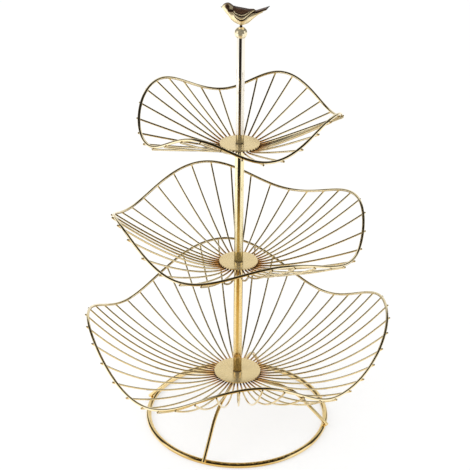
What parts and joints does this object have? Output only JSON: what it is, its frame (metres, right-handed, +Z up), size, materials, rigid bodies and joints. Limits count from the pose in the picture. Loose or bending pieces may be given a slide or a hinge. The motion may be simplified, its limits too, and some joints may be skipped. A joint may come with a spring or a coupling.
{
  "type": "tiered fruit basket",
  "caption": "Round tiered wire fruit basket: waved open bowls of radial wires on a central pole, wire legs on a base ring, ball and small bird finial on top.",
  "frame": {"origin": "on the floor, under the centre of the base ring, which is the pole's axis", "axes": "+Z up along the pole, +X to the picture's right, towards the bird's tail, +Y away from the camera"},
  "size_m": [0.3322, 0.3331, 0.4806],
  "materials": {
    "polished_gold": "polished",
    "gold_wire": "polished",
    "satin_gold": "satin",
    "bare_steel": "satin",
    "black_rubber": "matte"
  },
  "bodies": {
    "stand": {"base_ring": "polished_gold", "leg_front": "polished_gold", "leg_right": "polished_gold", "leg_back": "polished_gold", "leg_left": "polished_gold", "base_hub": "polished_gold", "base_bolt": "bare_steel", "bottom_washer": "black_rubber", "lower_pole": "polished_gold", "lower_pole_foot_insert": "bare_steel", "lower_pole_head_insert": "bare_steel", "middle_stud": "bare_steel", "middle_washer": "black_rubber", "middle_pole": "polished_gold", "middle_pole_foot_insert": "bare_steel", "middle_pole_head_insert": "bare_steel", "top_stud": "bare_steel", "top_washer": "black_rubber", "upper_pole": "polished_gold", "upper_pole_foot_insert": "bare_steel", "upper_pole_head_insert": "bare_steel", "finial_stud": "bare_steel", "finial_ball": "polished_gold", "bird": "polished_gold"},
    "bottom_tier": {"bottom_plate": "satin_gold", "bottom_wires": "gold_wire", "bottom_rim": "gold_wire"},
    "middle_tier": {"middle_plate": "satin_gold", "middle_wires": "gold_wire", "middle_rim": "gold_wire"},
    "top_tier": {"top_plate": "satin_gold", "top_wires": "gold_wire", "top_rim": "gold_wire"}
  },
  "joints": [
    {"name": "bottom_tier_turn", "type": "hinge", "parent": "stand", "child": "bottom_tier", "pos_m": [0, 0, 0.0592], "axis": [0, 0, 1], "continuous": true},
    {"name": "middle_tier_turn", "type": "hinge", "parent": "stand", "child": "middle_tier", "pos_m": [0, 0, 0.1979], "axis": [0, 0, 1], "continuous": true},
    {"name": "top_tier_turn", "type": "hinge", "parent": "stand", "child": "top_tier", "pos_m": [0, 0, 0.3337], "axis": [0, 0, 1], "continuous": true}
  ]
}
